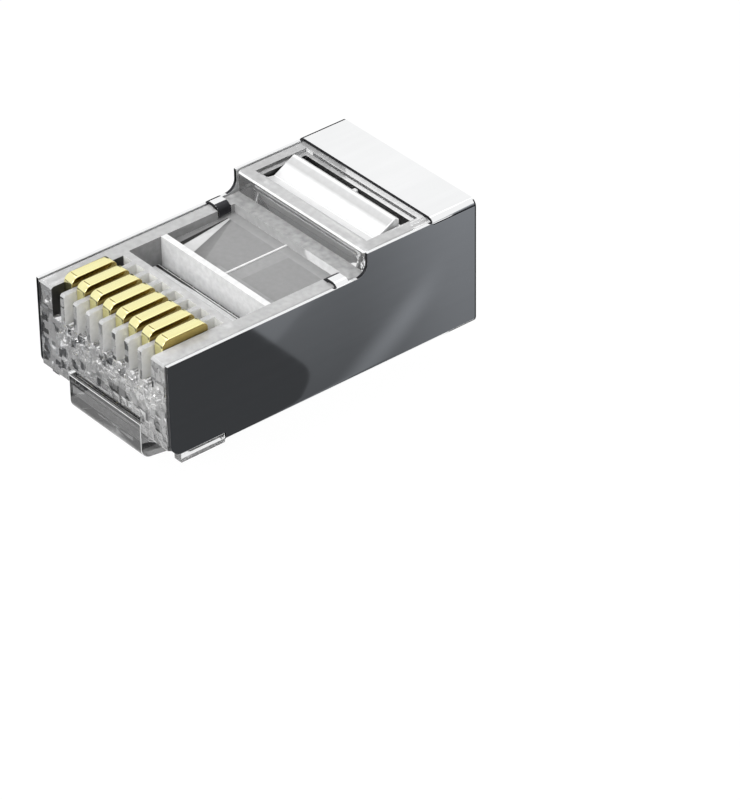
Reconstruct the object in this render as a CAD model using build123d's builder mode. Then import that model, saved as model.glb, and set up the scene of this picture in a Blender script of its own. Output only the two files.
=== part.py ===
from build123d import *
from math import radians, tan
import os

# Shielded 8-way modular plug, ready for its cable: the contacts and clamp bars are not crimped yet.
# Millimetres. X runs across the plug with contact 1 at +X, Y from the nose face at y = 0 to the
# cable entry, and Z up, with the contacts on top and the latch below the shield's underside at z = 0.

# How far cuts run out past the body, and joined blocks reach into each other
clear_of_body = 2.0
root_overlap = 0.10
hair = 0.01

# Sheet shield
sheet = 0.20
bend_radius = 0.45
fit_gap = 0.05

# Wires and contacts
contact_count = 8
contact_pitch = 1.15
wire_bore = 0.90
wire_level = 3.30
bore_front_wall = 0.55
contact_width = 0.74
contact_length = 3.10
contact_height = 3.10
contact_setback = 0.85
contact_proud = 0.53
contact_nose_radius = 0.48
contact_tail_radius = 0.38
contact_edge = 0.05
head_height = 1.30
blade_thickness = 0.32
blade_setback = 0.35
tooth_depth = 0.55
tooth_count = 3
prong_gap = 0.25
crimp_travel = 1.08
slot_play = 0.03
slot_tail = 1.00
deck_wall = 0.50

# Trough, wire guide and roof recess
trough_length = 2.25
guide_side_play = 0.125
guide_floor_gap = 0.10
throat_headroom = 0.90
guide_front_gap = 0.20
guide_length = 3.10
guide_mouth = 0.50
rib_thickness = 0.40
rib_slope = 0.35
recess_length = 4.80
recess_depth = 0.57
recess_roof = 0.50
recess_line = 0.06
rail_width = 0.99
housing_edge = 0.18
nose_edge = 0.12
step_edge = 0.30

# Cable end
ledge_length = 0.97
step_height = 1.35
cavity_width = 9.10
cavity_height = 6.00
cavity_corner = 0.60
floor_wall = 0.75
throat_setback = 0.27
opening_setback = 1.03
opening_width = 9.10
opening_length = 3.10
opening_rim = 0.28
opening_rim_depth = 0.22
rear_bridge = 0.59
band_length = 3.10
housing_recess = 0.70
entry_chamfer = 0.45

# Nose and latch
nose_floor = 0.82
leg_foot = 1.05
leg_slope = 1.60
leg_overlap = 0.60
latch_width = 6.40
latch_side_gap = 0.06
latch_axis_setback = 0.80
latch_axis_drop = 0.93
knuckle_radius = 0.42
knuckle_cover = 0.90
latch_wall = 0.55
latch_top_gap = 0.55
latch_drop = 1.10
latch_corner = 0.70
latch_arm = 0.75
latch_tip = 0.62
latch_angle = 8.0
latch_shoulder = 8.30
latch_reach = 14.50
tongue_width = 3.20
grip_groove = 0.14
grip_pitch = 0.60
grip_count = 4

# Clamp bars
clamp_play = 0.05
jacket_axis_inset = 0.10
jacket_axis_drop = 0.67
jacket_knuckle = 0.30
jacket_side_gap = 0.12
jacket_ridge_proud = 0.28
jacket_ridge_run = 2.05
jacket_back_run = 2.32
jacket_lip_run = 0.60
jacket_lip_drop = 0.50
jacket_tooth_drop = 1.85
web_width = 0.30
conductor_bar_length = 1.80
conductor_bar_inset = 0.30
conductor_bar_height = 0.75
conductor_travel = 0.50
conductor_bar_bevel = 0.20

# Shield outline
shield_setback = 0.04
front_corner_height = 1.48
notch_height = 0.68
notch_length = 3.79
step_radius = 0.70
foot_length = 3.00
foot_overhang = 0.21
foot_lift = 0.05
foot_root = 0.40
hook_width = 0.85
hook_setback = 0.30
hook_flat = 0.34
hook_radius = 0.50
hook_tail = 0.12
seam_gap = 0.05

# Heights, from the wires upwards and downwards
bore_radius = wire_bore / 2
contact_bottom = wire_level + bore_radius + prong_gap
contact_top = contact_bottom + contact_height
low_top = contact_top - contact_proud
high_top = low_top + step_height
slot_floor = contact_top - head_height - crimp_travel - clamp_play
housing_bottom = sheet + fit_gap
cavity_floor = housing_bottom + floor_wall
throat_floor = wire_level - bore_radius - guide_floor_gap
throat_top = wire_level + bore_radius + throat_headroom
recess_floor = low_top - recess_depth
nose_lower = wire_level - bore_radius - nose_floor

# Places along Y, from the nose to the cable entry
contact_front = contact_setback
contact_rear = contact_front + contact_length
slot_rear = contact_rear + slot_tail
trough_front = slot_rear + deck_wall
trough_rear = trough_front + trough_length
guide_front = trough_rear + guide_front_gap
throat_rear = guide_front + guide_length + clamp_play
recess_front = trough_rear + rib_thickness
recess_rear = recess_front + recess_length
step_y = recess_rear + ledge_length
throat_y = step_y - throat_setback
opening_front = step_y + opening_setback
opening_rear = opening_front + opening_length
band_front = opening_rear + rear_bridge
plug_length = band_front + band_length
housing_rear = plug_length - housing_recess

# Widths
row_width = (contact_count - 1) * contact_pitch
slot_width = contact_width + 2 * slot_play
trough_width = row_width + wire_bore + 2 * guide_side_play
housing_width = trough_width + 2 * rail_width
half_housing = housing_width / 2
plug_width = housing_width + 2 * (fit_gap + sheet)
half_plug = plug_width / 2

# Latch hinge line and outline values
latch_axis_y = latch_axis_setback
latch_axis_z = nose_lower - latch_axis_drop
latch_top = nose_lower - latch_top_gap
latch_low = latch_top - latch_wall - latch_drop - latch_corner
latch_slope = tan(radians(latch_angle))
seat_radius = knuckle_radius + clamp_play
half_latch = latch_width / 2
pocket_half = half_latch + latch_side_gap

# Jacket clamp hinge line
jacket_axis_y = opening_front + jacket_axis_inset
jacket_axis_z = high_top - jacket_axis_drop

contact_places = GridLocations(contact_pitch, 1, contact_count, 1).local_locations
contact_x = sorted((place.position.X for place in contact_places), reverse=True)

os.makedirs("parts", exist_ok=True)


def at_y(y):
    """The upright plane across the plug at y, with its local axes along X and Z."""
    return Plane.XZ.offset(-y)


def cut_box(x_low, x_high, y_low, y_high, z_low, z_high):
    """Take a box between the given planes out of the open part."""
    with BuildSketch(Plane.XY.offset(z_low)) as base:
        with Locations(((x_low + x_high) / 2, (y_low + y_high) / 2)):
            Rectangle(x_high - x_low, y_high - y_low)
    extrude(base.sketch, amount=z_high - z_low, mode=Mode.SUBTRACT)


def add_box(x_low, x_high, y_low, y_high, z_low, z_high):
    """Add a box between the given planes to the open part."""
    with BuildSketch(Plane.XY.offset(z_low)) as base:
        with Locations(((x_low + x_high) / 2, (y_low + y_high) / 2)):
            Rectangle(x_high - x_low, y_high - y_low)
    extrude(base.sketch, amount=z_high - z_low)


# Housing: one clear moulding
with BuildPart() as housing:
    # Side outline between the latch's nose seat and the cable end
    with BuildSketch(Plane.YZ):
        with BuildLine():
            step_start = (step_y, high_top - step_edge)
            step_end = (step_y + step_edge, high_top)
            Polyline(
                (0, nose_lower), (0, low_top - nose_edge), (nose_edge, low_top),
                (step_y, low_top), step_start,
            )
            RadiusArc(step_start, step_end, step_edge)
            Polyline(
                step_end,
                (housing_rear, high_top),
                (housing_rear, housing_bottom),
                (leg_slope, housing_bottom),
                (latch_axis_y + knuckle_radius, latch_axis_z - knuckle_radius),
                (latch_axis_y, latch_axis_z),
                (latch_axis_y, nose_lower),
                (0, nose_lower),
            )
        make_face()
    extrude(amount=half_housing, both=True)
    long_edges = housing.edges().filter_by(Axis.Y).filter_by(
        lambda edge: abs(edge.center().X) > half_housing - hair
    )
    fillet(long_edges, radius=housing_edge)

    # Legs either side of the latch, down to the shield's floor
    leg_width = half_housing - pocket_half
    leg_rear = leg_slope + leg_overlap
    with BuildSketch(Plane.YZ.offset(pocket_half)):
        with BuildLine():
            Polyline(
                (0, leg_foot),
                (0, nose_lower + root_overlap),
                (leg_rear, nose_lower + root_overlap),
                (leg_rear, housing_bottom + housing_edge),
                (leg_slope, housing_bottom),
                close=True,
            )
        make_face()
    extrude(amount=leg_width)
    foot_rear = notch_length - clamp_play
    add_box(
        half_housing - foot_root, half_housing + foot_overhang,
        foot_rear - foot_length, foot_rear,
        foot_lift, notch_height - fit_gap,
    )
    mirror(about=Plane.YZ)

    # Round seat for the latch's knuckle
    with BuildSketch(Plane.YZ):
        with Locations((latch_axis_y, latch_axis_z)):
            Circle(seat_radius)
    extrude(amount=pocket_half, both=True, mode=Mode.SUBTRACT)

    # Jacket cavity with its chamfered mouth
    cavity_middle = cavity_floor + cavity_height / 2
    with BuildSketch(at_y(housing_rear)):
        with Locations((0, cavity_middle)):
            RectangleRounded(cavity_width, cavity_height, cavity_corner)
    extrude(amount=housing_rear - opening_front, mode=Mode.SUBTRACT)
    with BuildSketch(at_y(housing_rear + hair)):
        with Locations((0, cavity_middle)):
            RectangleRounded(
                cavity_width + 2 * entry_chamfer, cavity_height + 2 * entry_chamfer, cavity_corner
            )
    with BuildSketch(at_y(housing_rear - entry_chamfer)):
        with Locations((0, cavity_middle)):
            RectangleRounded(cavity_width, cavity_height, cavity_corner)
    loft(mode=Mode.SUBTRACT)

    # The roof of the cavity drops under the step, then the funnel closes in on the wire guide
    throat_ceiling = recess_floor - recess_roof
    drop_height = throat_ceiling - cavity_floor
    with BuildSketch(at_y(opening_front)):
        with Locations((0, cavity_middle)):
            RectangleRounded(cavity_width, cavity_height, cavity_corner)
    with BuildSketch(at_y(throat_y)):
        with Locations((0, cavity_floor + drop_height / 2)):
            RectangleRounded(cavity_width, drop_height, cavity_corner)
    loft(mode=Mode.SUBTRACT)
    throat_height = throat_top - throat_floor
    with BuildSketch(at_y(throat_y)):
        with Locations((0, cavity_floor + drop_height / 2)):
            Rectangle(cavity_width, drop_height)
    with BuildSketch(at_y(throat_rear)):
        with Locations((0, throat_floor + throat_height / 2)):
            Rectangle(trough_width, throat_height)
    loft(mode=Mode.SUBTRACT)

    # Throat for the wire guide, and the open trough above its front end
    half_trough = trough_width / 2
    cut_box(-half_trough, half_trough, trough_front, throat_rear, throat_floor, throat_top)
    cut_box(
        -half_trough, half_trough, trough_front, trough_rear, throat_floor, low_top + clear_of_body,
    )

    # Roof recess between the rails, with a sloped face behind the rib
    with BuildSketch(Plane.YZ):
        with BuildLine():
            Polyline(
                (recess_front + rib_slope, recess_floor),
                (recess_front, low_top),
                (recess_front, low_top + clear_of_body),
                (recess_rear, low_top + clear_of_body),
                (recess_rear, recess_floor),
                close=True,
            )
        make_face()
    extrude(amount=half_trough, both=True, mode=Mode.SUBTRACT)
    add_box(
        -recess_line, recess_line, recess_front + rib_slope, recess_rear,
        recess_floor - recess_line, recess_floor + recess_line,
    )

    # Pockets in the rails for the shield's hooks
    hook_rear = recess_rear - hook_setback
    hook_root = half_plug - bend_radius - hook_flat
    for side in (-1, 1):
        edges_x = sorted((side * (half_trough - root_overlap), side * hook_root))
        cut_box(
            edges_x[0], edges_x[1],
            hook_rear - hook_width - clamp_play, hook_rear + clamp_play,
            recess_floor, low_top + clear_of_body,
        )

    # Contact slots, open at the nose, each with a narrow well down to its wire bore
    for x in contact_x:
        cut_box(
            x - slot_width / 2, x + slot_width / 2, -clear_of_body, slot_rear,
            slot_floor, low_top + clear_of_body,
        )
        well_half = blade_thickness / 2 + slot_play
        cut_box(
            x - well_half, x + well_half,
            contact_front + blade_setback - clamp_play, contact_rear - blade_setback + clamp_play,
            wire_level, slot_floor,
        )
        with BuildSketch(at_y(trough_front)):
            with Locations((x, wire_level)):
                Circle(bore_radius)
        extrude(amount=trough_front - bore_front_wall, mode=Mode.SUBTRACT)

    # Opening for the jacket clamp, with its stepped rim and the round seat of the hinge
    half_opening = opening_width / 2
    cut_box(
        -half_opening, half_opening, opening_front, opening_rear,
        cavity_middle, high_top + clear_of_body,
    )
    cut_box(
        -half_opening - opening_rim, half_opening + opening_rim,
        opening_front - opening_rim, opening_rear + opening_rim,
        high_top - opening_rim_depth, high_top + clear_of_body,
    )
    with BuildSketch(Plane.YZ):
        with Locations((jacket_axis_y, jacket_axis_z)):
            Circle(jacket_knuckle + clamp_play)
    extrude(amount=half_opening, both=True, mode=Mode.SUBTRACT)
housing.part.label = "housing"

# Contacts: gold-plated blades with a broad round-ended head and piercing teeth
head_bottom = contact_top - head_height
blade_front = contact_front + blade_setback
blade_rear = contact_rear - blade_setback
tooth_length = (blade_rear - blade_front) / tooth_count
contacts = []
for number, x in enumerate(contact_x, start=1):
    with BuildPart() as contact:
        with BuildSketch(Plane.YZ.offset(x)):
            with BuildLine():
                nose_start = (contact_front, contact_top - contact_nose_radius)
                nose_end = (contact_front + contact_nose_radius, contact_top)
                tail_start = (contact_rear - contact_tail_radius, contact_top)
                tail_end = (contact_rear, contact_top - contact_tail_radius)
                Line((contact_front, head_bottom), nose_start)
                RadiusArc(nose_start, nose_end, contact_nose_radius)
                Line(nose_end, tail_start)
                RadiusArc(tail_start, tail_end, contact_tail_radius)
                Polyline(tail_end, (contact_rear, head_bottom), (contact_front, head_bottom))
            make_face()
        extrude(amount=contact_width / 2, both=True)
        rim_edges = (
            contact.edges()
            .filter_by(lambda edge: abs(edge.center().X - x) > contact_width / 2 - hair)
            .filter_by(lambda edge: edge.center().Z > head_bottom + hair)
        )
        chamfer(rim_edges, length=contact_edge)
        with BuildSketch(Plane.YZ.offset(x)):
            with BuildLine():
                teeth = []
                for tooth in range(tooth_count):
                    start = blade_rear - tooth * tooth_length
                    teeth.append((start, contact_bottom + tooth_depth))
                    teeth.append((start - tooth_length / 2, contact_bottom))
                Polyline(
                    (blade_front, contact_bottom + tooth_depth),
                    (blade_front, head_bottom + contact_edge),
                    (blade_rear, head_bottom + contact_edge),
                    *teeth,
                    close=True,
                )
            make_face()
        extrude(amount=blade_thickness / 2, both=True)
    contact.part.label = f"contact_{number}"
    contacts.append(contact.part)

# Wire guide: a bar with a groove for each wire, open at the top and flared at its mouth
guide_half = half_trough - clamp_play
guide_bottom = throat_floor + clamp_play
guide_top = throat_top - clamp_play
guide_rear = guide_front + guide_length
groove_half = contact_width / 2
with BuildPart() as wire_guide:
    add_box(-guide_half, guide_half, guide_front, guide_rear, guide_bottom, guide_top)
    for x in contact_x:
        with BuildSketch(at_y(guide_rear)):
            with Locations((x, wire_level)):
                Circle(bore_radius)
        extrude(amount=guide_length, mode=Mode.SUBTRACT)
        cut_box(x - groove_half, x + groove_half, guide_front, guide_rear, wire_level, guide_top)
    with BuildSketch(Plane.YZ):
        with BuildLine():
            Polyline(
                (guide_rear - guide_mouth, guide_top),
                (guide_rear, guide_top),
                (guide_rear, wire_level + bore_radius),
                close=True,
            )
        make_face()
    extrude(amount=guide_half, both=True, mode=Mode.SUBTRACT)
wire_guide.part.label = "wire_guide"

# Conductor clamp: a scalloped bar that drops from the trough onto the wires
bar_front = trough_front + conductor_bar_inset
bar_rear = bar_front + conductor_bar_length
bar_bottom = wire_level + bore_radius + conductor_travel - clamp_play
bar_top = bar_bottom + conductor_bar_height
bar_half = half_trough - 2 * clamp_play
with BuildPart() as conductor_clamp:
    with BuildSketch(Plane.YZ):
        with BuildLine():
            Polyline(
                (bar_front, bar_bottom),
                (bar_front, bar_top - conductor_bar_bevel),
                (bar_front + conductor_bar_bevel, bar_top),
                (bar_rear - conductor_bar_bevel, bar_top),
                (bar_rear, bar_top - conductor_bar_bevel),
                (bar_rear, bar_bottom),
                close=True,
            )
        make_face()
    extrude(amount=bar_half, both=True)
    for x in contact_x:
        with BuildSketch(at_y(bar_rear)):
            with Locations((x, bar_bottom - bore_radius / 2)):
                Circle(bore_radius)
        extrude(amount=conductor_bar_length, mode=Mode.SUBTRACT)
conductor_clamp.part.label = "conductor_clamp"

# Jacket clamp: a tilted bar on a hinge line at the front of its opening
ridge_y = jacket_axis_y + jacket_ridge_run
back_y = jacket_axis_y + jacket_back_run
jacket_half = half_opening - jacket_side_gap
jacket_lip_z = high_top - jacket_lip_drop
with BuildPart() as jacket_clamp:
    with BuildSketch(Plane.YZ):
        with BuildLine():
            Polyline(
                (jacket_axis_y, jacket_axis_z - jacket_knuckle),
                (jacket_axis_y, jacket_axis_z + jacket_knuckle * knuckle_cover),
                (jacket_axis_y + jacket_lip_run, jacket_lip_z),
                (ridge_y, high_top + jacket_ridge_proud),
                (back_y, high_top + jacket_ridge_proud / 2),
                (back_y, jacket_axis_z - jacket_tooth_drop / 2),
                (ridge_y, high_top - jacket_tooth_drop),
                (ridge_y - jacket_lip_run, high_top - jacket_tooth_drop),
                close=True,
            )
        make_face()
        with Locations((jacket_axis_y, jacket_axis_z)):
            Circle(jacket_knuckle)
    extrude(amount=jacket_half, both=True)
    add_box(
        -web_width / 2, web_width / 2, back_y - root_overlap, opening_rear - clamp_play,
        high_top - jacket_axis_drop, high_top - opening_rim_depth - clamp_play,
    )
jacket_clamp.part.label = "jacket_clamp"

# Latch: a wall hanging from its knuckle at the nose, and an arm that runs back below the plug
tip_underside = latch_low - (latch_reach - latch_corner) * latch_slope
shoulder_underside = latch_low - (latch_shoulder - latch_corner) * latch_slope
arm_root_top = latch_low + latch_arm
shoulder_top = shoulder_underside + latch_arm
with BuildPart() as latch:
    with BuildSketch(Plane.YZ):
        with BuildLine():
            Line((0, latch_top), (0, latch_low + latch_corner))
            RadiusArc((0, latch_low + latch_corner), (latch_corner, latch_low), -latch_corner)
            Polyline(
                (latch_corner, latch_low),
                (latch_shoulder, shoulder_underside),
                (latch_shoulder, shoulder_top),
                (latch_corner + latch_wall, arm_root_top - latch_wall * latch_slope),
            )
            Polyline(
                (latch_corner + latch_wall, arm_root_top - latch_wall * latch_slope),
                (latch_wall, arm_root_top + latch_wall / 2),
                (latch_wall, latch_axis_z - knuckle_radius * knuckle_cover),
                (latch_axis_y, latch_axis_z - knuckle_radius * knuckle_cover),
                (latch_axis_y, latch_top),
                (0, latch_top),
            )
        make_face()
        with Locations((latch_axis_y, latch_axis_z)):
            Circle(knuckle_radius)
    extrude(amount=half_latch, both=True)
    with BuildSketch(Plane.YZ):
        with BuildLine():
            Polyline(
                (latch_shoulder - latch_corner, shoulder_underside + latch_corner * latch_slope),
                (latch_reach, tip_underside),
                (latch_reach, tip_underside + latch_tip / 2),
                (latch_reach - latch_tip / 2, tip_underside + latch_tip),
                (latch_shoulder - latch_corner, shoulder_top + latch_corner * latch_slope),
                close=True,
            )
        make_face()
    extrude(amount=tongue_width / 2, both=True)
    for groove in range(1, grip_count + 1):
        groove_y = latch_reach - groove * grip_pitch
        groove_z = latch_low - (groove_y - latch_corner) * latch_slope
        with BuildSketch(Plane.YZ):
            with Locations((groove_y, groove_z)):
                Circle(grip_groove)
        extrude(amount=tongue_width / 2, both=True, mode=Mode.SUBTRACT)
latch.part.label = "latch"

# Shield: one folded sheet, open along the top up to the band
side_top = high_top
band_top = high_top + clamp_play + sheet
band_joint = band_top - bend_radius - sheet
with BuildPart() as shield:
    # Floor and both sides, bent at the lower corners
    inner = half_plug - sheet
    inner_radius = bend_radius - sheet
    with BuildSketch(at_y(plug_length)):
        with BuildLine():
            Line((0, 0), (half_plug - bend_radius, 0))
            RadiusArc((half_plug - bend_radius, 0), (half_plug, bend_radius), -bend_radius)
            Polyline(
                (half_plug, bend_radius), (half_plug, side_top), (inner, side_top), (inner, bend_radius)
            )
            RadiusArc((inner, bend_radius), (inner - inner_radius, sheet), inner_radius)
            Polyline((inner - inner_radius, sheet), (0, sheet), (0, 0))
        make_face()
        mirror(about=Plane.YZ)
    extrude(amount=plug_length - shield_setback)

    # Top edge of the sides: low beside the contacts, rounded up at the step, cut down under the band
    with BuildSketch(Plane.YZ):
        with BuildLine():
            fillet_start = (step_y - step_radius, low_top)
            fillet_end = (step_y, low_top + step_radius)
            above = side_top + clear_of_body
            Polyline((-clear_of_body, above), (-clear_of_body, low_top), fillet_start)
            RadiusArc(fillet_start, fillet_end, -step_radius)
            Polyline(
                fillet_end, (step_y, side_top), (band_front, side_top), (band_front, band_joint),
                (plug_length + clear_of_body, band_joint), (plug_length + clear_of_body, above),
                (-clear_of_body, above),
            )
        make_face()
    extrude(amount=half_plug + clear_of_body, both=True, mode=Mode.SUBTRACT)

    # Rounded lower front corner, and the notch that clears the housing's foot
    with BuildSketch(Plane.YZ):
        with BuildLine():
            corner_drop = front_corner_height - notch_height
            corner_start = (shield_setback, front_corner_height)
            corner_end = (shield_setback + corner_drop, notch_height)
            below = (-clear_of_body, -clear_of_body)
            Polyline(below, (-clear_of_body, front_corner_height), corner_start)
            RadiusArc(corner_start, corner_end, -corner_drop)
            Polyline(corner_end, (notch_length, notch_height), (notch_length, -clear_of_body), below)
        make_face()
    extrude(amount=half_plug + clear_of_body, both=True, mode=Mode.SUBTRACT)

    # Band over the cable end
    crown = band_top - bend_radius
    with BuildSketch(at_y(plug_length)):
        with BuildLine():
            Line((half_plug, band_joint), (half_plug, crown))
            RadiusArc((half_plug, crown), (half_plug - bend_radius, band_top), -bend_radius)
            Polyline(
                (half_plug - bend_radius, band_top), (0, band_top),
                (0, band_top - sheet), (inner - inner_radius, band_top - sheet),
            )
            RadiusArc((inner - inner_radius, band_top - sheet), (inner, crown), inner_radius)
            Polyline((inner, crown), (inner, band_joint), (half_plug, band_joint))
        make_face()
        mirror(about=Plane.YZ)
    extrude(amount=band_length)

    # Seam along the floor, where the two ends of the folded sheet meet
    cut_box(
        -seam_gap / 2, seam_gap / 2, -clear_of_body, plug_length + clear_of_body,
        -clear_of_body, 2 * sheet,
    )

    # Hooks bent over the rails, their ends curled down into the pockets
    hook_under = low_top + clamp_play / 2
    hook_over = hook_under + sheet
    with BuildSketch(at_y(hook_rear)):
        with BuildLine():
            hook_inner = hook_radius - sheet
            side_start = (half_plug, low_top - bend_radius)
            bend_high = (half_plug, hook_over - bend_radius)
            bend_end = (half_plug - bend_radius, hook_over)
            curl_end = (hook_root - hook_radius, hook_over - hook_radius)
            curl_inner = (hook_root - hook_inner, hook_over - hook_radius)
            tail_z = hook_over - hook_radius - hook_tail
            Line(side_start, bend_high)
            RadiusArc(bend_high, bend_end, -bend_radius)
            Line(bend_end, (hook_root, hook_over))
            RadiusArc((hook_root, hook_over), curl_end, -hook_radius)
            Polyline(curl_end, (curl_end[0], tail_z), (curl_inner[0], tail_z), curl_inner)
            RadiusArc(curl_inner, (hook_root, hook_under), hook_inner)
            Line((hook_root, hook_under), (half_plug - bend_radius, hook_under))
            RadiusArc(
                (half_plug - bend_radius, hook_under), (inner, hook_over - bend_radius), inner_radius
            )
            Polyline((inner, hook_over - bend_radius), (inner, low_top - bend_radius), side_start)
        make_face()
        mirror(about=Plane.YZ)
    extrude(amount=hook_width)
shield.part.label = "shield"

pieces = [
    housing.part, shield.part, wire_guide.part, conductor_clamp.part, jacket_clamp.part, latch.part,
] + contacts
for piece in pieces:
    export_step(piece, f"parts/{piece.label}.step")
print(f"plug {plug_width:.2f} wide, {plug_length:.2f} long, {low_top:.2f} and {band_top:.2f} high")
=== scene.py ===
"""Shielded 8-way modular plug: rounded contacts and edges, finishes, light and camera."""

import math

import bmesh
import bpy
from mathutils import Matrix, Vector


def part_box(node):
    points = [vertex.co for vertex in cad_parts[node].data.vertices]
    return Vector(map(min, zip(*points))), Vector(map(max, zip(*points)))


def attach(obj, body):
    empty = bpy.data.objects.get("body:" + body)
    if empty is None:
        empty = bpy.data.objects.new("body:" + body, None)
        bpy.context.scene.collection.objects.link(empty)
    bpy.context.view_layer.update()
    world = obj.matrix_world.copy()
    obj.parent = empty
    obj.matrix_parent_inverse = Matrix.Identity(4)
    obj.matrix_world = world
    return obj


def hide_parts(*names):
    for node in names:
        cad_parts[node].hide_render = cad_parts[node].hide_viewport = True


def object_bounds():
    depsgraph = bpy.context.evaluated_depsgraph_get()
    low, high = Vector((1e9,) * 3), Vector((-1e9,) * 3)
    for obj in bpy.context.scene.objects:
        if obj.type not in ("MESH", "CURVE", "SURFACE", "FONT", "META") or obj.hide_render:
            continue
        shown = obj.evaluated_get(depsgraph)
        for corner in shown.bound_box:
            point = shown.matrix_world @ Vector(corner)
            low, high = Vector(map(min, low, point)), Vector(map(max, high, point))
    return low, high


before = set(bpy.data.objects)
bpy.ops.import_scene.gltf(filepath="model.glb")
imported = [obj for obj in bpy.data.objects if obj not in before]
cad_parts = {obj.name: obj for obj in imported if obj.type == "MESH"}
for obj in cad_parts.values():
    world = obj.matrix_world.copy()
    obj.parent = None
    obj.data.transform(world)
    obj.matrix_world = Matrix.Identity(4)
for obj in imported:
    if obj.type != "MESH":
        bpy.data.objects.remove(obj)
cad_low, cad_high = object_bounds()

MM = 0.001

# Edge rounding of the folded sheet and the mouldings
moulded_edge = 0.05 * MM
sheet_edge = 0.025 * MM
smooth_angle = math.radians(32)
flat_angle = math.radians(0.5)
merge_distance = 0.0001 * MM

# Contact head, with the strip that carries its crease's painted shade near its front
contact_count = 8
cad_contact_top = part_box("contact_1")[1].z
head_height = 1.30 * MM
head_nose_radius = 0.48 * MM
head_tail_radius = 0.38 * MM
head_rim = 0.04 * MM
crease_setback = 0.45 * MM
crease_width = 0.05 * MM
crease_share = 0.70
crease_rise = 0.004 * MM
side_lean = 0.6

# Blade of a contact, below its head
blade_thickness = 0.32 * MM
blade_setback = 0.35 * MM
tooth_depth = 0.55 * MM
tooth_count = 3

# Corners closer than this count as level with each other
near = 0.001 * MM

# Comb, trough, recess and step of the housing
nose_face = 0.02 * MM
comb_floor = 4.60 * MM
comb_half = 4.70 * MM
last_slot_wall = -4.42 * MM
tail_front = 3.98 * MM
comb_rear = 5.40 * MM
trough_rear = 7.70 * MM
recess_rear = 12.90 * MM
recess_half = 4.60 * MM
deck_level = 6.57 * MM
step_front = 13.85 * MM
step_edge_low = 7.60 * MM
step_edge_lean = (0.40, 0.80)

# Opening of the jacket clamp, with the clamp's hinge and ridge
opening_half = 4.55 * MM
opening_front = 14.90 * MM
opening_rear = 18.00 * MM
clamp_hinge = 15.00 * MM
clamp_ridge = 17.05 * MM

# Curled ends of the shield's hooks, and the strip along its rear edge, which both get painted shade
curl_half = 5.00 * MM
curl_low = 5.50 * MM
rear_shade_width = 0.09 * MM

# Where faces are cut for a change of finish
cut_places = {"housing": (tail_front, recess_rear), "shield": (cad_high.y - rear_shade_width,)}

# How far a face's normal leans one way
hardly = 0.01
slightly = 0.05
facing = 0.5
square_on = 0.9

# How close a face lies to the place it is looked for at
face_slack = 0.01 * MM
face_match = 0.05 * MM
face_reach = 0.10 * MM

# Painted shadow line on the wire bar
bar_shadow_line = 7.24 * MM
bar_shadow_width = 0.30 * MM
bar_shadow_blur = 0.01 * MM

# Painted light and shade on the recess's floor: facets and strips that stand for the funnel below it; a
# strip's edge is soft between its two places
facet_corner = Vector((-4.42, 12.85)) * MM
rear_strip_edge = (12.18 * MM, 12.26 * MM)
front_strip_edge = (8.83 * MM, 8.91 * MM)
front_strip_end = (-1.10 * MM, -0.70 * MM)
middle_strip_start = (0.05 * MM, 0.10 * MM)
middle_strip_end = (0.95 * MM, 1.05 * MM)
middle_strip_share = 0.6
strip_shade_grey = (0.41, 0.41, 0.41, 1.0)

# Plastic and relief
polycarbonate_ior = 1.58
polish_depth = 0.01 * MM
facet_depth = 0.18 * MM
mask_range = (0.3, 0.7)

# Camera, found from the photograph's edges
image_height = 800
focal_pixels = 4714.541
camera_azimuth = 50.678
camera_elevation = 34.676
camera_roll = 0.860
camera_target = Vector((12.29, 8.62, 4.0)) * MM
camera_distance = 251.802 * MM
camera_clip = 10 * MM
sensor_width = 36.0

# Floor, world and lamps, with the white that the camera and mirrors see
floor_half = 1500 * MM
paper = (0.9, 0.9, 0.9, 1.0)
paper_glow = 1.02
paper_glow_share = 0.96
world_light = 1.1
lamp_distance = 400 * MM
white = (1.0, 1.0, 1.0, 1.0)

# Cards round the plug: their level just over the floor, their reach, and how far off the plug they start
card_level = cad_low.z + 0.05 * MM
card_reach = 150 * MM
card_top = 65 * MM
left_gap = 8 * MM
front_gap = 5 * MM
strip_gap = 0.5 * MM
card_tint = (0.83, 0.87, 0.93, 1.0)
card_black = (0.01, 0.01, 0.012, 1.0)
grey_card_light = (0.45, 0.08)

# What the shield's side mirrors, in mm along it and up it; a line is its two slopes and its offset
mirror_front = -12.0
mirror_rear = 45.0
mirror_low = -2.5
mirror_high = 16.0
side_grey = 0.098
side_grey_rise = 0.006
rear_rise = (12.0, 22.0)
rear_light = 0.10
facet_line = (-0.678, 1.0, -0.52)
facet_edge = (-0.2, 0.3)
facet_light = 0.05
streak_line = (-0.570, 0.822, 7.57)
streak_half = 1.6
streak_light = 0.09
streak_end = (16.5, 20.5)
front_line = (0.74, 0.672, -7.45)
front_edge = (-0.05, 0.15)
front_grey = 0.052
front_tip = 1.755
front_tip_rounding = 3.8


# Sums and mixes of shader sockets

def feed(tree, socket, value):
    """Link another socket to a socket, or give it a plain value."""
    if isinstance(value, bpy.types.NodeSocket):
        tree.links.new(value, socket)
    else:
        socket.default_value = value


def number_node(tree, operation, *values):
    """One sum on numbers or sockets; returns its result."""
    node = tree.nodes.new("ShaderNodeMath")
    node.operation = operation
    for socket, value in zip(node.inputs, values):
        feed(tree, socket, value)
    return node.outputs[0]


def ranged(tree, value, places, amounts=(0.0, 1.0), passage="LINEAR"):
    """A passage from the first amount to the second while a value goes between two places."""
    node = tree.nodes.new("ShaderNodeMapRange")
    node.interpolation_type = passage
    node.inputs["From Min"].default_value, node.inputs["From Max"].default_value = places
    node.inputs["To Min"].default_value, node.inputs["To Max"].default_value = amounts
    tree.links.new(value, node.inputs["Value"])
    return node.outputs["Result"]


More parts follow.
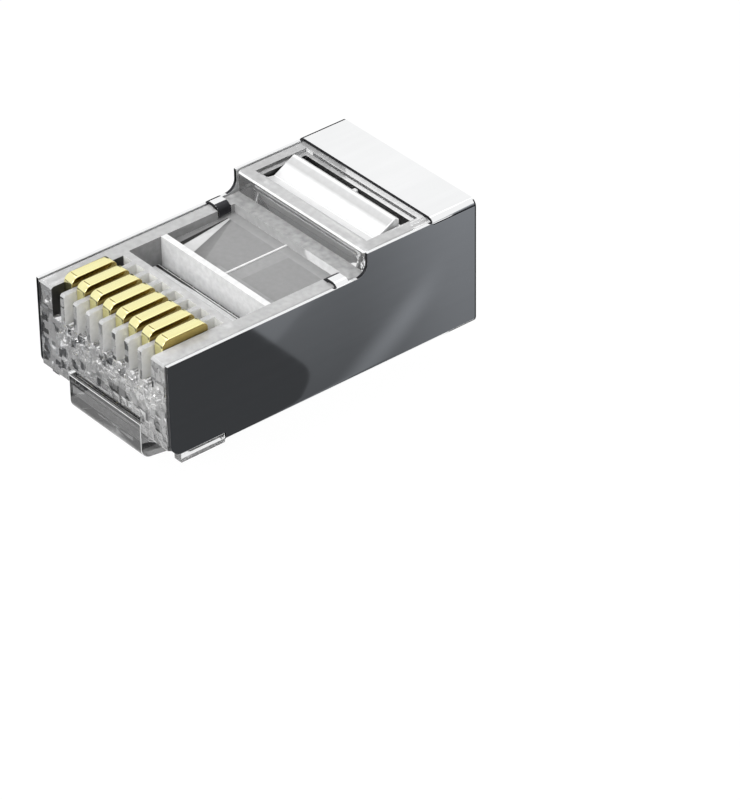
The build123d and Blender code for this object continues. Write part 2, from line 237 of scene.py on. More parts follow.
def eased(tree, value, places, amounts=(0.0, 1.0)):
    """The same as ranged, but soft at both ends."""
    return ranged(tree, value, places, amounts, "SMOOTHSTEP")


def mixed(tree, share, first, second, kind="FLOAT", blend="MIX"):
    """A number or a colour between two, each given as it is or as a socket."""
    node = tree.nodes.new("ShaderNodeMix")
    node.data_type = kind
    node.blend_type = blend
    feed(tree, node.inputs["Factor"], share)
    feed(tree, node.inputs["A"], first)
    feed(tree, node.inputs["B"], second)
    return node.outputs["Result"]


def grey_ramp(tree, value, stops):
    """A grey that follows a value along stops, each (position, grey), in rising order."""
    node = tree.nodes.new("ShaderNodeValToRGB")
    elements = node.color_ramp.elements
    elements[0].position = stops[0][0]
    elements[1].position = stops[-1][0]
    for position, grey in stops[1:-1]:
        elements.new(position)
    for element, (position, grey) in zip(elements, stops):
        element.color = (grey, grey, grey, 1.0)
    tree.links.new(value, node.inputs["Fac"])
    return node.outputs["Color"]


def noise(tree, place, scale, detail, distortion=0.0):
    """The value of a cloudy pattern at a place."""
    node = tree.nodes.new("ShaderNodeTexNoise")
    node.inputs["Detail"].default_value = detail
    node.inputs["Distortion"].default_value = distortion
    feed(tree, node.inputs["Scale"], scale)
    tree.links.new(place, node.inputs["Vector"])
    return node.outputs["Fac"]


def object_place(tree):
    """Where a point lies across (X), along (Y) and above (Z) the plug, as named sockets."""
    place = tree.nodes.new("ShaderNodeTexCoord")
    split = tree.nodes.new("ShaderNodeSeparateXYZ")
    tree.links.new(place.outputs["Object"], split.inputs["Vector"])
    return split.outputs


# Skin groups

def skin_group(name):
    """An empty shader group from place and scale to mask and height; returns it and its inner sockets."""
    group = bpy.data.node_groups.new(name, "ShaderNodeTree")
    group.interface.new_socket("Vector", in_out="INPUT", socket_type="NodeSocketVector")
    group.interface.new_socket("Scale", in_out="INPUT", socket_type="NodeSocketFloat")
    group.interface.new_socket("Mask", in_out="OUTPUT", socket_type="NodeSocketFloat")
    group.interface.new_socket("Height", in_out="OUTPUT", socket_type="NodeSocketFloat")
    entry = group.nodes.new("NodeGroupInput")
    leave = group.nodes.new("NodeGroupOutput")
    return group, entry.outputs, leave.inputs


def moulding_skin_group():
    """Faint flow marks of a polished moulding: a mask and a height."""
    group, entry, leave = skin_group("moulding_skin")
    wave = noise(group, entry["Vector"], entry["Scale"], detail=2.0, distortion=0.6)
    finer = number_node(group, "MULTIPLY", entry["Scale"], 6.0)
    fine = noise(group, entry["Vector"], finer, detail=4.0)
    group.links.new(fine, leave["Mask"])
    group.links.new(mixed(group, 0.35, wave, fine), leave["Height"])
    return group


def rolled_sheet_group():
    """Fine lines left on plated metal by rolling and wiping: a mask and a height."""
    group, entry, leave = skin_group("rolled_sheet")
    stretch = group.nodes.new("ShaderNodeMapping")
    stretch.inputs["Scale"].default_value = (1.0, 0.06, 1.0)
    group.links.new(entry["Vector"], stretch.inputs["Vector"])
    lines = noise(group, stretch.outputs["Vector"], entry["Scale"], detail=3.0)
    cloud = noise(group, entry["Vector"], 160.0, detail=3.0)
    group.links.new(mixed(group, 0.5, lines, cloud), leave["Mask"])
    group.links.new(lines, leave["Height"])
    return group


def broken_facets_group():
    """Small flat-sided steps, as the wire bores behind the nose break up the light: a mask that paints the
    cells' light and shade, and a height.
    """
    group, entry, leave = skin_group("broken_facets")
    steps = group.nodes.new("ShaderNodeTexVoronoi")
    steps.distance = "CHEBYCHEV"
    steps.inputs["Randomness"].default_value = 0.75
    group.links.new(entry["Vector"], steps.inputs["Vector"])
    group.links.new(entry["Scale"], steps.inputs["Scale"])
    each = group.nodes.new("ShaderNodeSeparateXYZ")
    group.links.new(steps.outputs["Color"], each.inputs["Vector"])
    group.links.new(ranged(group, each.outputs["X"], (0.05, 0.55)), leave["Mask"])
    group.links.new(steps.outputs["Distance"], leave["Height"])
    return group


moulding_skin = moulding_skin_group()
rolled_sheet = rolled_sheet_group()
broken_facets = broken_facets_group()


# Materials

def shader_of(material):
    """The sockets of a material's shader."""
    return material.node_tree.nodes["Principled BSDF"].inputs


def surface(name, skin, skin_scale, tones, roughness, bump, bump_depth):
    """A material whose tone, roughness and relief follow a skin group."""
    material = bpy.data.materials.new(name)
    material.use_nodes = True
    tree = material.node_tree
    shader = shader_of(material)
    place = tree.nodes.new("ShaderNodeTexCoord")
    pattern = tree.nodes.new("ShaderNodeGroup")
    pattern.node_tree = skin
    pattern.inputs["Scale"].default_value = skin_scale
    tree.links.new(place.outputs["Object"], pattern.inputs["Vector"])

    mask = ranged(tree, pattern.outputs["Mask"], mask_range)
    first, second = ((*tone, 1.0) for tone in tones)
    tree.links.new(mixed(tree, mask, first, second, "RGBA"), shader["Base Color"])
    tree.links.new(ranged(tree, mask, (0.0, 1.0), roughness), shader["Roughness"])

    relief = tree.nodes.new("ShaderNodeBump")
    relief.inputs["Strength"].default_value = bump
    relief.inputs["Distance"].default_value = bump_depth
    tree.links.new(pattern.outputs["Height"], relief.inputs["Height"])
    tree.links.new(relief.outputs["Normal"], shader["Normal"])
    return material


def make_clear(material, clarity):
    """Give a material the light bending of polycarbonate, and a share of light that passes through."""
    shader = shader_of(material)
    shader["IOR"].default_value = polycarbonate_ior
    shader["Transmission Weight"].default_value = clarity


def plastic(name, clarity, tones, roughness):
    """Polycarbonate, from clear to milky, between two grey tones."""
    greys = [(tone, tone * 1.002, tone * 1.005) for tone in tones]
    material = surface(name, moulding_skin, 500.0, greys, roughness, bump=0.02, bump_depth=polish_depth)
    make_clear(material, clarity)
    return material


def painted_light_faceted_plastic(name):
    """Clear polycarbonate of the nose face, with painted light and shade in small cells for the broken light
    of what lies behind it.
    """
    greys = ((0.16, 0.16, 0.162), (1.0, 1.0, 1.0))
    material = surface(name, broken_facets, 1900.0, greys, (0.01, 0.03), bump=1.0, bump_depth=facet_depth)
    make_clear(material, clarity=0.82)
    return material


def toned_by(material, tones):
    """Multiply a material's tone by a socket's."""
    tree = material.node_tree
    base = shader_of(material)["Base Color"]
    plain = base.links[0].from_socket
    tree.links.new(mixed(tree, 1.0, plain, tones, "RGBA", "MULTIPLY"), base)


def shade_banded_clamp_plastic(name):
    """Milky polycarbonate of the jacket clamp, with bands of painted shade along its lip and below its
    ridge.
    """
    material = plastic(name, clarity=0.15, tones=(0.86, 0.93), roughness=(0.12, 0.18))
    tree = material.node_tree
    reach = ranged(tree, object_place(tree)["Y"], (clamp_hinge, clamp_ridge))
    # Painted shade: grey bands across the clamp's lip and below its ridge.
    lip = ((0.25, 1.0), (0.29, 0.55), (0.33, 1.0))
    below_ridge = ((0.66, 1.0), (0.76, 0.66), (0.92, 0.72), (0.96, 1.0), (1.0, 1.0))
    toned_by(material, grey_ramp(tree, reach, lip + below_ridge))
    return material


def shadowed_bar_plastic(name):
    """Milky polycarbonate of the wire bar, with a painted shadow line by the trough's rear wall that thins
    out.
    """
    material = plastic(name, clarity=0.15, tones=(0.82, 0.98), roughness=(0.12, 0.18))
    tree = material.node_tree
    place = object_place(tree)
    reach = ranged(tree, place["X"], (-recess_half, recess_half))
    share = grey_ramp(tree, reach, ((0.0, 0.9), (0.28, 0.7), (0.40, 0.2), (1.0, 0.2)))
    half_line = number_node(tree, "MULTIPLY", share, bar_shadow_width / 2)
    off_line = number_node(tree, "ABSOLUTE", number_node(tree, "SUBTRACT", place["Y"], bar_shadow_line))
    beyond = number_node(tree, "SUBTRACT", off_line, half_line)
    # Painted shadow: the tone falls to near black along the line.
    toned_by(material, eased(tree, beyond, (-bar_shadow_blur, bar_shadow_blur), (0.02, 1.0)))
    return material


def painted_recess_plastic(name):
    """Milky polycarbonate of the recess's floor, with painted light and shade: the facets and strips of the
    funnel below it.
    """
    material = plastic(name, clarity=0.20, tones=(0.90, 1.0), roughness=(0.06, 0.12))
    tree = material.node_tree
    place = object_place(tree)
    across, along = place["X"], place["Y"]

    off_corner = number_node(tree, "SUBTRACT", across, facet_corner.x)
    before_corner = number_node(tree, "SUBTRACT", facet_corner.y, along)
    fan = number_node(tree, "DIVIDE", off_corner, before_corner)
    # Painted light and shade: dark, light and grey facets fanning out from a corner.
    dark_facet = ((0.05, 0.316), (0.07, 0.03), (0.135, 0.03))
    light_facet = ((0.15, 0.80), (0.355, 0.74))
    grey_facet = ((0.375, 0.17), (0.58, 0.24), (0.62, 0.316))
    painted_facets = grey_ramp(tree, fan, dark_facet + light_facet + grey_facet)

    # Painted shade: grey strips at the rear, at the front and along the middle.
    rear = eased(tree, along, rear_strip_edge)
    front = eased(tree, along, front_strip_edge, (1.0, 0.0))
    front = number_node(tree, "MULTIPLY", front, eased(tree, across, front_strip_end))
    middle = eased(tree, across, middle_strip_start)
    fading = eased(tree, across, middle_strip_end, (middle_strip_share, 0.0))
    middle = number_node(tree, "MULTIPLY", middle, fading)
    painted_strips = number_node(tree, "MAXIMUM", number_node(tree, "MAXIMUM", rear, front), middle)
    toned_by(material, mixed(tree, painted_strips, painted_facets, strip_shade_grey, "RGBA"))
    return material


def metal(name, lines_scale, tones, roughness, bump):
    """Metal with fine rolling lines."""
    material = surface(name, rolled_sheet, lines_scale, tones, roughness, bump, bump_depth=polish_depth)
    shader_of(material)["Metallic"].default_value = 1.0
    return material


def plated_sheet(name, roughness):
    """Nickel plate on the folded sheet."""
    tones = ((0.88, 0.885, 0.89), (0.93, 0.935, 0.94))
    return metal(name, lines_scale=1500.0, tones=tones, roughness=roughness, bump=0.02)


def shaded_cut_edge(name):
    """Cut edge of the sheet: rough metal, painted near black as shade."""
    tones = ((0.015, 0.015, 0.017), (0.06, 0.06, 0.065))
    return metal(name, lines_scale=4000.0, tones=tones, roughness=(0.25, 0.45), bump=0.2)


def gold_plate(name, dark, light):
    """Gold flash over nickel on the contacts."""
    return metal(name, lines_scale=2500.0, tones=(dark, light), roughness=(0.10, 0.17), bump=0.05)


def shaded_gold_side(name):
    """Gold on the contacts' sides with painted shade: darker than the top's gold, and darker still towards
    the deck.
    """
    material = gold_plate(name, dark=(0.52, 0.40, 0.13), light=(0.62, 0.48, 0.17))
    tree = material.node_tree
    base = shader_of(material)["Base Color"]
    plain = base.links[0].from_socket
    height = ranged(tree, object_place(tree)["Z"], (deck_level, cad_contact_top))
    # Painted shade: the sides' gold goes to a dark olive near the deck.
    tree.links.new(mixed(tree, height, (0.30, 0.23, 0.07, 1.0), plain, "RGBA"), base)
    return material


# Making of pieces

def new_piece(name, shape):
    """Turn an edited mesh into an object of the scene."""
    mesh = bpy.data.meshes.new(name)
    shape.to_mesh(mesh)
    shape.free()
    piece = bpy.data.objects.new(name, mesh)
    bpy.context.scene.collection.objects.link(piece)
    return piece


def finished(shape, name, body, node, slot, *materials):
    """Turn an edited mesh into a piece that stands for a CAD node and rides on its body."""
    piece = new_piece(name, shape)
    piece.data.shade_smooth()
    piece.data.set_sharp_from_angle(angle=smooth_angle)
    for material in materials:
        piece.data.materials.append(material)
    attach(piece, body)
    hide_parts(node)
    return piece


def edges_where(shape, test):
    """The edges whose two ends both pass a test."""
    return [edge for edge in shape.edges if all(test(vertex.co) for vertex in edge.verts)]


def round_edges(shape, edges, radius, segments):
    """Round the given edges."""
    bmesh.ops.bevel(
        shape, geom=edges, offset=radius, segments=segments, profile=0.5,
        affect="EDGES", material=-1, clamp_overlap=True,
    )


def block(shape, low, high):
    """Add a closed box between two corners and return its vertices."""
    place = Matrix.Translation((low + high) / 2) @ Matrix.Diagonal((*(high - low), 1.0))
    return bmesh.ops.create_cube(shape, size=1.0, matrix=place)["verts"]


def rounded_head(shape, low, high):
    """The head of a contact: a block with its top rounded off to both ends and along its rim."""
    block(shape, low, high)
    top_front = edges_where(shape, lambda co: co.z > high.z - near and co.y < low.y + near)
    round_edges(shape, top_front, head_nose_radius, 10)
    top_rear = edges_where(shape, lambda co: co.z > high.z - near and co.y > high.y - near)
    round_edges(shape, top_rear, head_tail_radius, 8)
    rim = [
        edge for edge in shape.edges
        if abs(edge.verts[0].co.x - edge.verts[1].co.x) < near
        and len({abs(face.normal.x) > facing for face in edge.link_faces}) == 2
    ]
    round_edges(shape, rim, head_rim, 3)


def toothed_blade(shape, low, high):
    """The blade below a contact's head, with piercing teeth along its lower edge."""
    bottom = {vertex for vertex in block(shape, low, high) if vertex.co.z < low.z + near}
    lower_edges = [
        edge for edge in shape.edges
        if edge.verts[0] in bottom and edge.verts[1] in bottom
        and abs(edge.verts[0].co.y - edge.verts[1].co.y) > near
    ]
    bmesh.ops.subdivide_edges(shape, edges=lower_edges, cuts=2 * tooth_count - 1, use_grid_fill=True)
    half_tooth = (high.y - low.y) / (2 * tooth_count)
    for vertex in shape.verts:
        if vertex.co.z < low.z + near and round((vertex.co.y - low.y) / half_tooth) % 2 == 0:
            vertex.co.z += tooth_depth


def crease_shade_strip(shape, low, high):
    """A thin strip across a contact's head that carries the crease's painted shade; returns its faces."""
    middle = (low.x + high.x) / 2
    half_length = crease_share * (high.x - low.x) / 2
    front = low.y + crease_setback - crease_width / 2
    crease_low = Vector((middle - half_length, front, high.z - head_rim))
    crease_high = Vector((middle + half_length, front + crease_width, high.z + crease_rise))
    return {face for vertex in block(shape, crease_low, crease_high) for face in vertex.link_faces}


def contact_piece(number, top, side, crease):
    """One contact: a rounded head with a crease's painted shade and sides of gold with painted shade, over a
    blade with piercing teeth.
    """
    node = f"contact_{number}"
    low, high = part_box(node)
    middle = (low.x + high.x) / 2
    head_low = Vector((low.x, low.y, high.z - head_height))
    blade_low = Vector((middle - blade_thickness / 2, low.y + blade_setback, low.z))
    blade_high = Vector((middle + blade_thickness / 2, high.y - blade_setback, head_low.z + head_rim))
    shape = bmesh.new()
    rounded_head(shape, head_low, high)
    toothed_blade(shape, blade_low, blade_high)
    bmesh.ops.recalc_face_normals(shape, faces=shape.faces)
    for face in shape.faces:
        # Side faces take the gold with painted shade.
        face.material_index = 1 if abs(face.normal.x) > side_lean else 0
    for face in crease_shade_strip(shape, low, high):
        face.material_index = 2
    return finished(shape, f"gold_contact_{number}", node, node, "gold_plating", top, side, crease)


def rounded_copy(node, name, body, slot, edge, material, rim, *accents):
    """A CAD node's own shape with a rim material on its rounded edges, a near-white painted highlight on the
    mouldings; accents are (material, face test).
    """
    shape = bmesh.new()
    shape.from_mesh(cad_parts[node].data)
    bmesh.ops.remove_doubles(shape, verts=shape.verts, dist=merge_distance)
    bmesh.ops.dissolve_limit(shape, angle_limit=flat_angle, verts=shape.verts, edges=shape.edges)
    for along in cut_places.get(node, ()):
        crossed = [face for face in shape.faces if abs(face.normal.y) < square_on]
        around = {edge for face in crossed for edge in face.edges}
        corners = {vertex for face in crossed for vertex in face.verts}
        bmesh.ops.bisect_plane(
            shape, geom=[*corners, *around, *crossed],
            plane_co=(0.0, along, 0.0), plane_no=(0.0, 1.0, 0.0),
        )
    for face in shape.faces:
        for number, (accent, chosen) in enumerate(accents, start=2):
            if chosen(face):
                face.material_index = number
    finishes = [accent for accent, chosen in accents]
    piece = finished(shape, name, body, node, slot, material, rim, *finishes)
    rounding = piece.modifiers.new("edge", "BEVEL")
    rounding.width = edge
    rounding.segments = 2
    rounding.limit_method = "ANGLE"
    rounding.angle_limit = smooth_angle
    rounding.harden_normals = True
    rounding.material = 1
    return piece


# Where the finishes of the shield and the housing go

def is_cut_across(face):
    """Whether a face of the sheet is one of its cut ends, seen from the nose or the cable end."""
    return abs(face.normal.x) < hardly and abs(face.normal.y) > slightly


def is_rear_shade_strip(face):
    """Whether a face of the sheet is the strip along the sides' rear edge that gets painted shade."""
    return abs(face.normal.x) > facing and face.calc_center_median().y > cad_high.y - rear_shade_width


def is_inner(face):
    """Whether a face of the sheet is the inner side of one of its two sides."""
    return abs(face.normal.x) > facing and face.normal.x * face.calc_center_median().x < 0


def is_curl(face):
    """Whether a face of the sheet is on a hook's curled end, which gets painted shade."""
    middle = face.calc_center_median()
    return middle.y < step_front and middle.z > curl_low and abs(middle.x) < curl_half


def is_nose(face):
    """Whether a face of the housing is its nose face."""
    return face.normal.y < -square_on and face.calc_center_median().y < nose_face


def in_comb(middle):
    """Whether the middle of a face of the housing lies between the comb's side walls, above its floor."""
    return middle.y < comb_rear and middle.z > comb_floor and abs(middle.x) < comb_half


def is_frosted(face):
    """Whether a face of the housing is a wall between the contacts."""
    upright = abs(face.normal.x) > facing or abs(face.normal.y) > facing
    return upright and in_comb(face.calc_center_median())


def is_tail(face):
    """Whether a face of the housing is a lit wall of a slot's tail, behind its contact, which gets painted
    light.
    """
    middle = face.calc_center_median()
    lit = face.normal.x > facing or face.normal.y < -facing
    return lit and tail_front < middle.y and in_comb(middle)


def is_top(face):
    """Whether a face of the housing is a top of the deck, a rail or the cable end."""
    return face.normal.z > facing and face.calc_center_median().z > deck_level - face_reach


def is_recess_end(face):
    """Whether a face of the housing is the recess's rear wall."""
    middle = face.calc_center_median()
    at_end = abs(middle.y - recess_rear) < face_match and middle.z > comb_floor
    return face.normal.y < -square_on and at_end


def is_floor(face):
    """Whether a face of the housing is the recess's floor."""
    middle = face.calc_center_median()
    in_recess = trough_rear < middle.y < recess_rear and comb_floor < middle.z < deck_level - face_reach
    return face.normal.z > facing and in_recess


def is_ledge(face):
    """Whether a face of the housing is the ledge before the step."""
    middle = face.calc_center_median()
    on_ledge = recess_rear < middle.y < step_front and abs(middle.z - deck_level) < face_match
    return face.normal.z > facing and on_ledge


def is_painted_light(face):
    """Whether a face of the housing gets painted light: the step's rounded edge, the recess's line or the
    trough's wall.
    """
    middle = face.calc_center_median()
    least_lean, most_lean = step_edge_lean
    leaning = face.normal.y < -slightly and least_lean < face.normal.z < most_lean
    line = abs(middle.x) < face_reach and trough_rear < middle.y < recess_rear
    in_trough = comb_rear < middle.y < trough_rear + face_slack and abs(middle.x) < comb_half
    trough = in_trough and middle.z > comb_floor and abs(face.normal.z) < facing
    return leaning and middle.z > step_edge_low or line or trough


def is_far_wall(face):
    """Whether a face of the housing is the far wall of the trough or the recess, which gets a painted shade.
    """
    middle = face.calc_center_median()
    beside = comb_rear < middle.y < recess_rear and middle.z > comb_floor
    return beside and face.normal.x > square_on and abs(middle.x + recess_half) < face_reach


def is_shaded(face):
    """Whether a face of the housing is a deep wall that shows black: slot 8's far side, the clamp's."""
    middle = face.calc_center_median()
    slot = in_comb(middle) and abs(middle.x - last_slot_wall) < face_match and face.normal.x > square_on
    in_opening = opening_front < middle.y < opening_rear + face_match and middle.z > deck_level
    far_side = abs(middle.x + opening_half) < face_match
    return slot or in_opening and (far_side or face.normal.y < -square_on)


# The plug's pieces

def add_pieces():
    """All visible pieces of the plug."""
    clear = plastic("clear_polycarbonate", clarity=0.93, tones=(0.94, 0.98), roughness=(0.02, 0.05))
    painted_facets = painted_light_faceted_plastic("faceted_polycarbonate_painted_light")
    frosted = plastic("frosted_polycarbonate", clarity=0.30, tones=(0.78, 0.90), roughness=(0.15, 0.20))
    pane = plastic("deck_polycarbonate", clarity=0.50, tones=(0.72, 0.88), roughness=(0.06, 0.12))
    # Painted shade: a dark grey for the far walls of the trough and the recess.
    shaded_far_wall = plastic("far_wall_shade_polycarbonate", clarity=0.20, tones=(0.27, 0.33), roughness=(0.06, 0.12))
    recess = painted_recess_plastic("recess_floor_painted_polycarbonate")
    hazy = plastic("ledge_polycarbonate", clarity=0.20, tones=(0.36, 0.54), roughness=(0.06, 0.12))
    # The latch gets a darker grey than the clear housing.
    darker_grey_latch = plastic("latch_polycarbonate", clarity=0.93, tones=(0.24, 0.36), roughness=(0.02, 0.05))
    # Painted light: lighter milky walls and edges where light falls.
    painted_light = plastic("painted_light_polycarbonate", clarity=0.15, tones=(0.82, 0.98), roughness=(0.12, 0.18))
    clamp_with_shade_bands = shade_banded_clamp_plastic("jacket_clamp_polycarbonate")
    bar_with_shadow = shadowed_bar_plastic("wire_bar_polycarbonate")
    # Painted highlight: near-white milky rounded edges on the mouldings.
    rim = plastic("edge_highlight_polycarbonate", clarity=0.10, tones=(0.97, 0.99), roughness=(0.15, 0.25))
    shade = plastic("shaded_polycarbonate", clarity=0.0, tones=(0.004, 0.02), roughness=(0.30, 0.45))
    sheet = plated_sheet("bright_nickel", roughness=(0.05, 0.10))
    inner = plated_sheet("dull_nickel", roughness=(0.50, 0.65))
    sheared_and_shaded = shaded_cut_edge("sheared_and_shaded_nickel")
    gold = gold_plate("contact_gold", dark=(0.90, 0.84, 0.42), light=(0.97, 0.92, 0.50))
    side = shaded_gold_side("contact_side_shaded_gold")
    # Painted shade: a dark gold line along each contact's crease.
    crease = gold_plate("contact_crease_shade_gold", dark=(0.34, 0.26, 0.08), light=(0.42, 0.33, 0.11))
    for number in range(1, contact_count + 1):
        contact_piece(number, gold, side, crease)
    rounded_copy(
        "housing", "clear_housing", "plug", "clear_plastic", moulded_edge, clear, rim,
        (painted_facets, is_nose), (frosted, is_frosted), (pane, is_top), (pane, is_recess_end), (recess, is_floor),
        (hazy, is_ledge), (painted_light, is_painted_light), (painted_light, is_tail), (shaded_far_wall, is_far_wall), (shade, is_shaded),
    )
    rounded_copy("wire_guide", "grooved_guide", "plug", "clear_plastic", moulded_edge, clear, rim)
    rounded_copy("conductor_clamp", "wire_bar", "conductor_clamp", "clear_plastic", moulded_edge, bar_with_shadow, rim)
    rounded_copy("jacket_clamp", "jacket_bar", "jacket_clamp", "clear_plastic", moulded_edge, clamp_with_shade_bands, rim)
    rounded_copy("latch", "clear_latch", "latch", "clear_plastic", moulded_edge, darker_grey_latch, rim)
    rounded_copy(
        # Painted shade: the cut ends, the hooks' curls and the sides' rear strip get the near-black cut
        # edge.
        "shield", "folded_shield", "plug", "nickel_sheet", sheet_edge, sheet, inner,
        (inner, is_inner), (sheared_and_shaded, is_cut_across), (sheared_and_shaded, is_curl), (sheared_and_shaded, is_rear_shade_strip),
    )


# Floor and world

def mixed_shader(tree, share, first, second):
    """A shader between two."""
    node = tree.nodes.new("ShaderNodeMixShader")
    feed(tree, node.inputs["Fac"], share)
    tree.links.new(first, node.inputs[1])
    tree.links.new(second, node.inputs[2])
    return node.outputs[0]


def lit_by_rays(tree, plain, shown):
    """The shown shader for camera, mirror and clear rays, and the plain one for the rest."""
    rays = tree.nodes.new("ShaderNodeLightPath")
    seen = number_node(tree, "MAXIMUM", rays.outputs["Is Camera Ray"], rays.outputs["Is Glossy Ray"])
    seen = number_node(tree, "MAXIMUM", seen, rays.outputs["Is Transmission Ray"])
    return mixed_shader(tree, seen, plain, shown)


def stage_material(name):
    """A material whose tree holds only its output; returns it, the tree and the output's socket."""
    material = bpy.data.materials.new(name)
    material.use_nodes = True
    tree = material.node_tree
    tree.nodes.clear()
    output = tree.nodes.new("ShaderNodeOutputMaterial")
    return material, tree, output.inputs["Surface"]


def glow(tree, colour, strength):
    """A shader that gives off light."""
    node = tree.nodes.new("ShaderNodeEmission")
    node.inputs["Color"].default_value = colour
    feed(tree, node.inputs["Strength"], strength)
    return node.outputs[0]


def floor_material():
    """White paper that reads as plain white and keeps a faint shadow."""
    material, tree, output = stage_material("white_floor")
    plain = tree.nodes.new("ShaderNodeBsdfDiffuse")
    plain.inputs["Color"].default_value = paper
    shadowed = mixed_shader(tree, paper_glow_share, plain.outputs[0], glow(tree, white, paper_glow))
    tree.links.new(lit_by_rays(tree, plain.outputs[0], shadowed), output)
    return material


def add_floor():
    """A wide floor under the lowest point."""
    floor_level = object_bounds()[0].z
    shape = bmesh.new()
    bmesh.ops.create_grid(shape, x_segments=1, y_segments=1, size=floor_half)
    bmesh.ops.translate(shape, verts=shape.verts, vec=(0.0, 0.0, floor_level))
    floor = new_piece("floor", shape)
    floor.data.materials.append(floor_material())


def add_world():
    """Even white surroundings."""
    world = bpy.data.worlds.new("studio")
    world.use_nodes = True
    bpy.context.scene.world = world
    tree = world.node_tree
    tree.nodes.clear()
    soft = tree.nodes.new("ShaderNodeBackground")
    soft.inputs["Strength"].default_value = world_light
    shown = tree.nodes.new("ShaderNodeBackground")
    shown.inputs["Color"].default_value = white
    output = tree.nodes.new("ShaderNodeOutputWorld")
    tree.links.new(lit_by_rays(tree, soft.outputs[0], shown.outputs[0]), output.inputs["Surface"])


# Cards that only mirrored rays meet

def card_place(tree):
    """A point's place on its card, by the card's own coordinates, as named sockets."""
    place = tree.nodes.new("ShaderNodeUVMap")
    split = tree.nodes.new("ShaderNodeSeparateXYZ")
    tree.links.new(place.outputs["UV"], split.inputs["Vector"])
    return split.outputs


def past_line(tree, along, up, line):
    """How far a place lies past a line."""
    along_slope, up_slope, offset = line
    part = number_node(tree, "MULTIPLY_ADD", along, along_slope, offset)
    return number_node(tree, "MULTIPLY_ADD", up, up_slope, part)


def side_card_material():
    """What the shield's side mirrors: a dark front, a grey that brightens to the rear, a light streak."""
    material, tree, output = stage_material("side_card")
    place = card_place(tree)
    along, up = place["X"], place["Y"]

    grey = number_node(tree, "MULTIPLY_ADD", up, side_grey_rise, side_grey)
    grey = number_node(tree, "ADD", grey, eased(tree, along, rear_rise, (0.0, rear_light)))
    facet = eased(tree, past_line(tree, along, up, facet_line), facet_edge, (0.0, facet_light))
    grey = number_node(tree, "ADD", grey, facet)

    off_streak = number_node(tree, "ABSOLUTE", past_line(tree, along, up, streak_line))
    streak = eased(tree, off_streak, (0.0, streak_half), (streak_light, 0.0))
    streak = number_node(tree, "MULTIPLY", streak, eased(tree, along, streak_end, (1.0, 0.0)))
    grey = number_node(tree, "ADD", grey, streak)

    over_tip = number_node(tree, "SUBTRACT", up, front_tip)
    under_tip = number_node(tree, "SUBTRACT", front_tip, up)
    off_tip = number_node(tree, "SMOOTH_MAX", over_tip, under_tip, front_tip_rounding)
    lit = eased(tree, past_line(tree, along, off_tip, front_line), front_edge)
    tree.links.new(glow(tree, card_tint, mixed(tree, lit, front_grey, grey)), output)
    return material


def black_card_material():
    """A card that mirrors as black."""
    material, tree, output = stage_material("black_card")
    tree.links.new(glow(tree, card_black, 1.0), output)
    return material


def grey_card_material():
    """A card that mirrors as grey, lighter at its first edge."""
    material, tree, output = stage_material("grey_card")
    strength = eased(tree, card_place(tree)["X"], (0.0, 1.0), grey_card_light)
    tree.links.new(glow(tree, card_tint, strength), output)
    return material


def add_card(name, corners, marks, material):
    """A flat card that only mirrored rays meet, with a pair of own coordinates at each corner."""
    shape = bmesh.new()
    layer = shape.loops.layers.uv.new("card")
    face = shape.faces.new([shape.verts.new(corner) for corner in corners])
    for loop, mark in zip(face.loops, marks):
        loop[layer].uv = mark
    card = new_piece(name, shape)
    card.data.materials.append(material)
    card.visible_camera = False
    card.visible_diffuse = False
    card.visible_transmission = False
    card.visible_volume_scatter = False
    card.visible_shadow = False


def add_level_card(name, left, front, right, rear, material):
    """A level card whose own coordinates start at its left front corner."""
    corners = [(left, front), (right, front), (right, rear), (left, rear)]
    marks = [(0.0, 0.0), (1.0, 0.0), (1.0, 1.0), (0.0, 1.0)]
    add_card(name, [(x, y, card_level) for x, y in corners], marks, material)


def add_upright_card(name, side, front, rear, material):
    """An upright card beside the plug whose own coordinates run down from its top."""
    corners = [(rear, card_top), (front, card_top), (front, card_level), (rear, card_level)]
    marks = [(0.0, 0.0), (0.0, 1.0), (1.0, 1.0), (1.0, 0.0)]
    add_card(name, [(side, y, z) for y, z in corners], marks, material)


def direction(azimuth, elevation):
    """The way from the plug to what stands at an azimuth and an elevation, in degrees."""
    turn = math.radians(azimuth)
    rise = math.radians(elevation)
    return Vector((math.sin(turn) * math.cos(rise), -math.cos(turn) * math.cos(rise), math.sin(rise)))


def mirrored(along, up):
    """Where the camera's ray meets the cards' level after the shield's side, at a place in mm on it."""
    to_camera = direction(camera_azimuth, camera_elevation)
    reach = (up * MM - card_level) / to_camera.z
    return Vector((cad_high.x + reach * to_camera.x, along * MM - reach * to_camera.y, card_level))


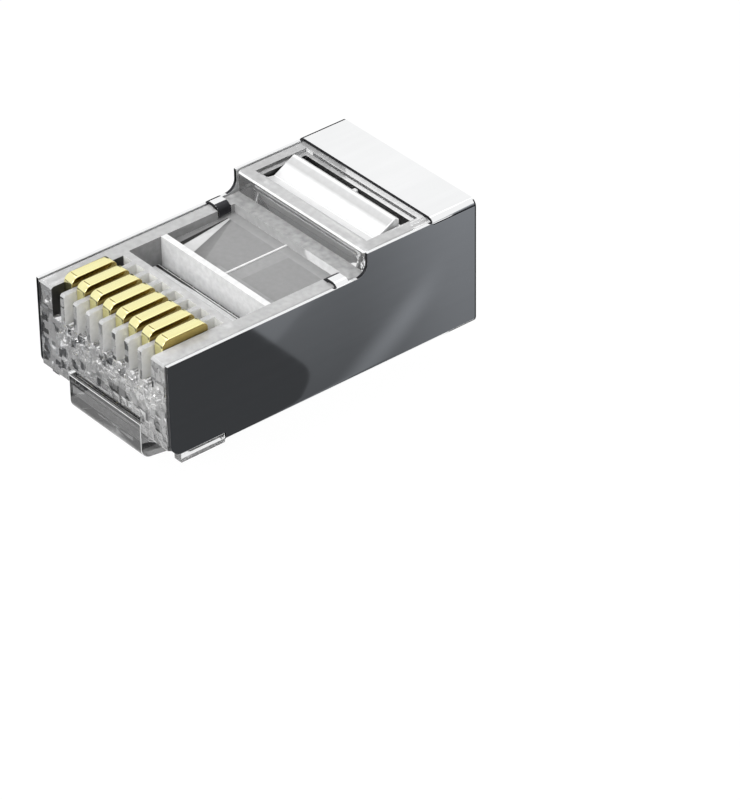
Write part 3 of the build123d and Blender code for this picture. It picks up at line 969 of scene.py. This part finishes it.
def add_cards():
    """The cards round the plug."""
    marks = [
        (mirror_front, mirror_low), (mirror_rear, mirror_low),
        (mirror_rear, mirror_high), (mirror_front, mirror_high),
    ]
    add_card("side_card", [mirrored(*mark) for mark in marks], marks, side_card_material())
    black = black_card_material()
    grey = grey_card_material()
    far = card_reach
    rear = cad_high.y
    front = cad_low.y - front_gap
    left = cad_low.x - left_gap
    beside = cad_low.x - strip_gap
    beyond = mirrored(mirror_front, mirror_high).x
    add_level_card("far_card", -far, front, left, far, black)
    add_level_card("left_card", -far, -far, beside, front, grey)
    add_level_card("strip_card", left, front, beside, rear, grey)
    add_level_card("rear_card", left, rear, cad_high.x, far, black)
    add_upright_card("far_wall", -far, 0.0, far, black)
    add_upright_card("near_wall", far, -far, far, grey)
    add_level_card("near_card", beyond, rear, far, far, black)


# Lamps and camera

def add_lamp(name, azimuth, elevation, size, watts):
    """A square soft lamp aimed at the plug's middle."""
    outward = direction(azimuth, elevation)
    light = bpy.data.lights.new(name, "AREA")
    light.energy = watts
    light.size = size
    lamp = bpy.data.objects.new(name, light)
    lamp.location = (cad_low + cad_high) / 2 + outward * lamp_distance
    lamp.rotation_euler = (-outward).to_track_quat("-Z", "Y").to_euler()
    bpy.context.scene.collection.objects.link(lamp)


def add_camera():
    """The camera at the photograph's viewing angle."""
    turn = (
        Matrix.Rotation(math.radians(camera_azimuth), 4, "Z")
        @ Matrix.Rotation(math.radians(90.0 - camera_elevation), 4, "X")
        @ Matrix.Rotation(math.radians(-camera_roll), 4, "Z")
    )
    back = turn.col[2].to_3d()
    lens = bpy.data.cameras.new("camera")
    lens.sensor_width = sensor_width
    lens.lens = focal_pixels * sensor_width / image_height
    lens.clip_start = camera_clip
    camera = bpy.data.objects.new("camera", lens)
    camera.matrix_world = Matrix.Translation(camera_target + back * camera_distance) @ turn
    bpy.context.scene.collection.objects.link(camera)
    bpy.context.scene.camera = camera


add_camera()
add_pieces()
add_floor()
add_cards()
add_world()
add_lamp("top_lamp", azimuth=230.0, elevation=75.0, size=300 * MM, watts=0.3)
add_lamp("front_lamp", azimuth=0.0, elevation=35.0, size=200 * MM, watts=0.8)
bpy.context.scene.view_settings.view_transform = "Standard"
